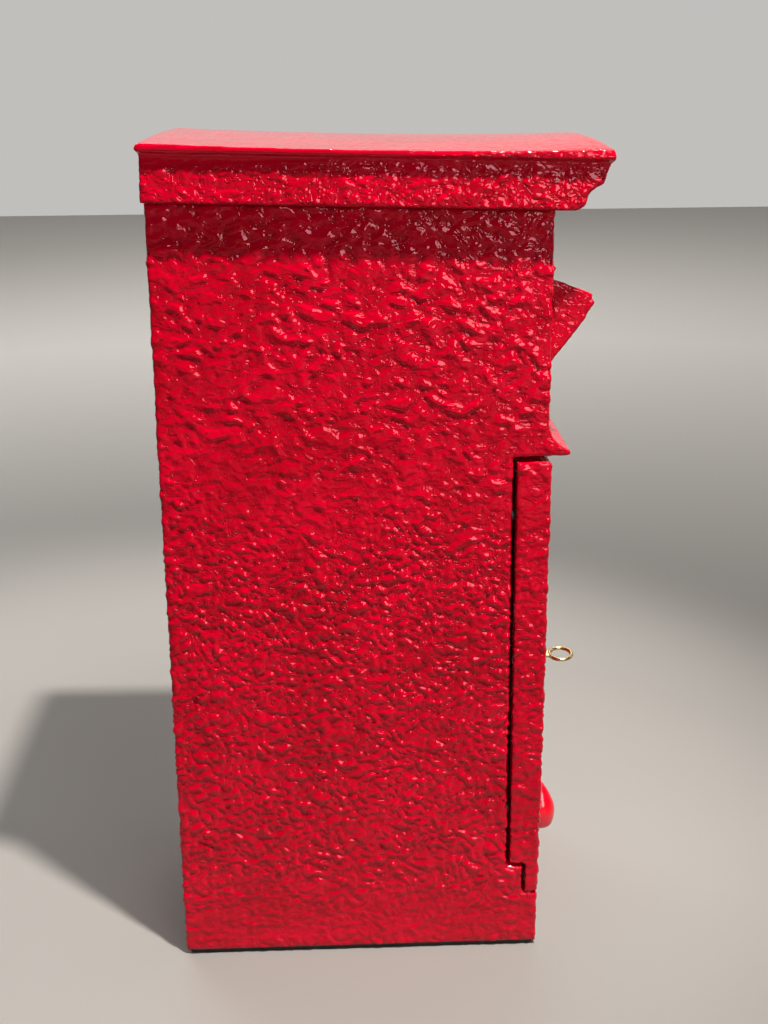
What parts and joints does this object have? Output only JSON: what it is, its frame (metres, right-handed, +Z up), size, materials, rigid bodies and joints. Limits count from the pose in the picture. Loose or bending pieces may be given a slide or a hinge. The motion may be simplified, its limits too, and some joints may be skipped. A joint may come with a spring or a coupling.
{
  "type": "mailbox",
  "caption": "Cast letter box with a moulded cornice, hooded letter slot with an inner flap, and a side-hinged locking front door with its key.",
  "frame": {"origin": "middle of the underside of the rubber base pad, where the box stands", "axes": "+X is the width, towards the hinge side; -Y is the front, with the slot and door; +Z is up"},
  "size_m": [0.249, 0.3194, 0.6288],
  "materials": {
    "red_enamel": "thick glossy red enamel over a rough, wrinkled casting",
    "red_gloss": "smooth glossy red paint",
    "steel_sheet": "zinc-plated sheet steel",
    "steel_fastener": "zinc-plated steel fasteners",
    "red_sheet": "red-painted sheet steel",
    "brass": "polished brass, slightly tarnished",
    "lock_metal": "nickel-plated lock cylinder",
    "black_rubber": "matt black rubber"
  },
  "bodies": {
    "case": {"body_shell": "red_enamel", "cornice_cap": "red_enamel", "rain_hood": "red_enamel", "back_plate": "red_sheet", "back_plate_screws": "steel_fastener", "cap_bolts": "steel_fastener", "cap_washers": "steel_fastener", "hood_screws": "steel_fastener", "flap_brackets": "steel_sheet", "bracket_screws": "steel_fastener", "flap_pin": "steel_fastener", "letter_baffle": "steel_sheet", "baffle_screws": "steel_fastener", "hinge_pin_upper": "steel_fastener", "hinge_pin_lower": "steel_fastener", "hinge_washer": "brass", "door_bumpers": "black_rubber", "base_pad": "black_rubber"},
    "door": {"door": "red_enamel", "lock_housing": "lock_metal", "lock_nut": "steel_fastener", "door_pull": "red_gloss", "door_pull_screw": "steel_fastener"},
    "lock_core": {"lock_barrel": "brass", "lock_cam": "steel_sheet", "cam_screw": "steel_fastener"},
    "key": {"key": "brass"},
    "flap": {"slot_flap": "steel_sheet"}
  },
  "joints": [
    {"name": "door_hinge", "type": "hinge", "parent": "case", "child": "door", "pos_m": [0.1023, -0.122, 0.235], "axis": [0, 0, 1], "range_deg": [0, 100]},
    {"name": "lock_turn", "type": "hinge", "parent": "door", "child": "lock_core", "pos_m": [-0.0675, -0.1206, 0.235], "axis": [0, 1, 0], "range_deg": [0, 90]},
    {"name": "key_slide", "type": "slide", "parent": "lock_core", "child": "key", "axis": [0, -1, 0], "range_m": [0, 0.026]},
    {"name": "flap_hinge", "type": "hinge", "parent": "case", "child": "flap", "pos_m": [0, -0.1275, 0.514], "axis": [1, 0, 0], "range_deg": [0, 80]}
  ]
}
